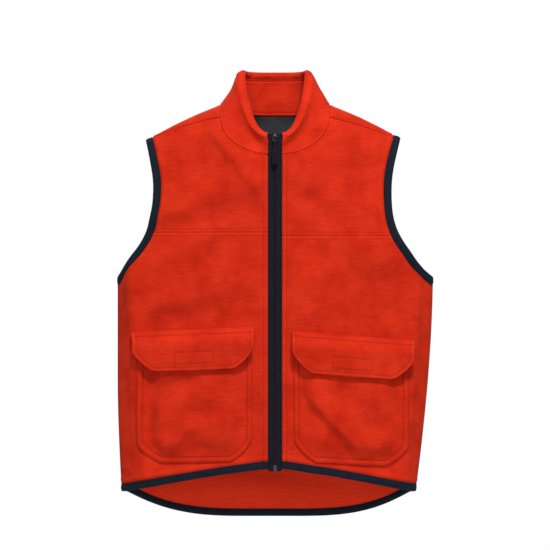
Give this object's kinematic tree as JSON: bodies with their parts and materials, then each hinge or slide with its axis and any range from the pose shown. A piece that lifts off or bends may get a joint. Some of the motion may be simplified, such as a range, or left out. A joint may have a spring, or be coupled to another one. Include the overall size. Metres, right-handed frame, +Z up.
{
  "type": "fleece hunting vest",
  "caption": "Sleeveless zip-front fleece vest with stand collar, bound armholes and hem, longer tail, and patch pockets under hook-and-loop flaps.",
  "frame": {"origin": "inside the neck, at the height where the shoulders rest on a hanger, midway between front and back", "axes": "+Z up, front of the vest towards -Y, +X towards the wearer's left"},
  "size_m": [0.551, 0.1198, 0.79],
  "materials": {
    "fleece": "brushed blaze orange fleece",
    "lining": "charcoal knitted mesh",
    "binding": "dark navy stretch binding",
    "hook_and_loop": "hook and loop tape",
    "zip_tape": "woven polyester tape",
    "zip_teeth": "nylon coil",
    "zip_metal": "satin",
    "slider_metal": "dark plated",
    "pull_rubber": "moulded, matt"
  },
  "bodies": {
    "garment": {"back_panel": "fleece", "back_yoke": "fleece", "front_yoke_left": "fleece", "front_yoke_right": "fleece", "front_panel_left": "fleece", "front_panel_right": "fleece", "yoke_lining": "lining", "collar_outer": "fleece", "collar_inner": "fleece", "armhole_binding_left": "binding", "armhole_binding_right": "binding", "hem_binding_left": "binding", "hem_binding_right": "binding", "tail_binding": "binding", "pocket_bag_left": "fleece", "pocket_bag_right": "fleece", "pocket_loop_tape_left": "hook_and_loop", "pocket_loop_tape_right": "hook_and_loop", "zip_tape_left": "zip_tape", "zip_tape_right": "zip_tape", "zip_teeth_left": "zip_teeth", "zip_teeth_right": "zip_teeth", "zip_top_stop_left": "zip_metal", "zip_top_stop_right": "zip_metal", "zip_insertion_pin": "zip_metal", "zip_retainer_box": "zip_metal"},
    "flap_left": {"pocket_flap_left": "fleece", "flap_hook_tape_left": "hook_and_loop"},
    "flap_right": {"pocket_flap_right": "fleece", "flap_hook_tape_right": "hook_and_loop"},
    "slider": {"zip_slider": "slider_metal"},
    "pull": {"zip_pull": "slider_metal", "zip_pull_tab": "pull_rubber"}
  },
  "joints": [
    {"name": "flap_left_lift", "type": "hinge", "parent": "garment", "child": "flap_left", "pos_m": [-0.139, -0.04015, -0.39226], "axis": [-0.9941, 0.0994, -0.0427], "range_deg": [0, 140]},
    {"name": "flap_right_lift", "type": "hinge", "parent": "garment", "child": "flap_right", "pos_m": [0.132, -0.04085, -0.40312], "axis": [-0.9917, -0.0992, 0.0813], "range_deg": [0, 140]},
    {"name": "slider_travel", "type": "slide", "parent": "garment", "child": "slider", "axis": [0, 0, -1], "range_m": [0, 0.551]},
    {"name": "pull_swing", "type": "hinge", "parent": "slider", "child": "pull", "pos_m": [0, -0.0529, -0.062], "axis": [-1, 0, 0], "range_deg": [0, 170]}
  ]
}
